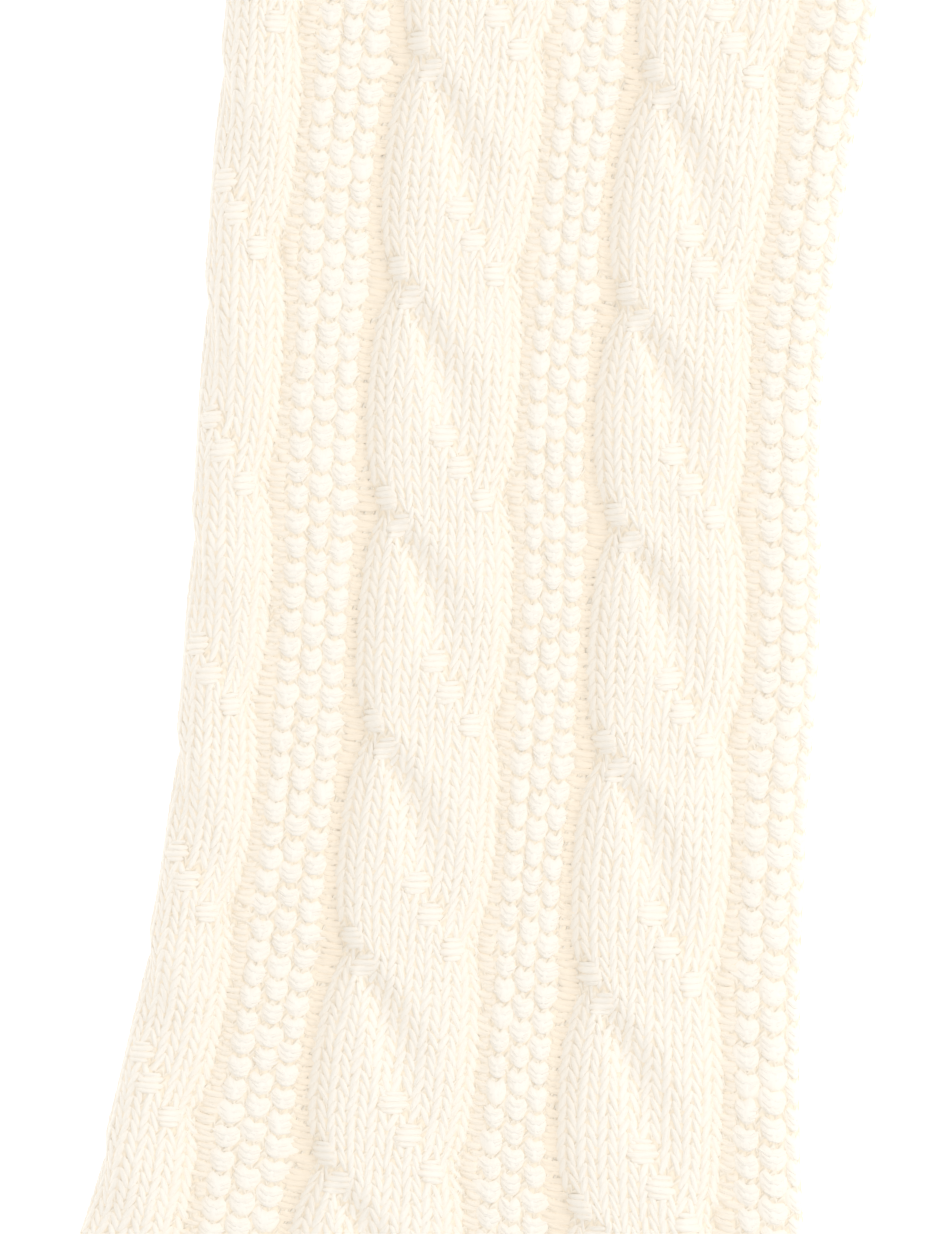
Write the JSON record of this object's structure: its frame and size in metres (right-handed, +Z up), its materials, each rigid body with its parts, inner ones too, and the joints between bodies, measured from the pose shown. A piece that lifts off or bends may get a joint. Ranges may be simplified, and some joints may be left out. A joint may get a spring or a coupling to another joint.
{
  "type": "knee sock",
  "caption": "Cable-knit knee sock laid flat on its side: ribbed cuff, cabled leg with seed-stitch panels, turned heel, patterned instep and closed toe.",
  "frame": {"origin": "middle of the sock's bounding box, at the surface it lies on", "axes": "+Z up out of the surface; +Y up the leg towards the cuff; the toe points to -X and the heel to +X"},
  "size_m": [0.2516, 0.4698, 0.0073],
  "materials": {
    "cream_wool": "soft matt wool knit, undyed cream"
  },
  "bodies": {
    "root": {"cuff": "cream_wool", "leg": "cream_wool", "heel": "cream_wool", "foot": "cream_wool", "toe": "cream_wool"}
  },
  "joints": []
}
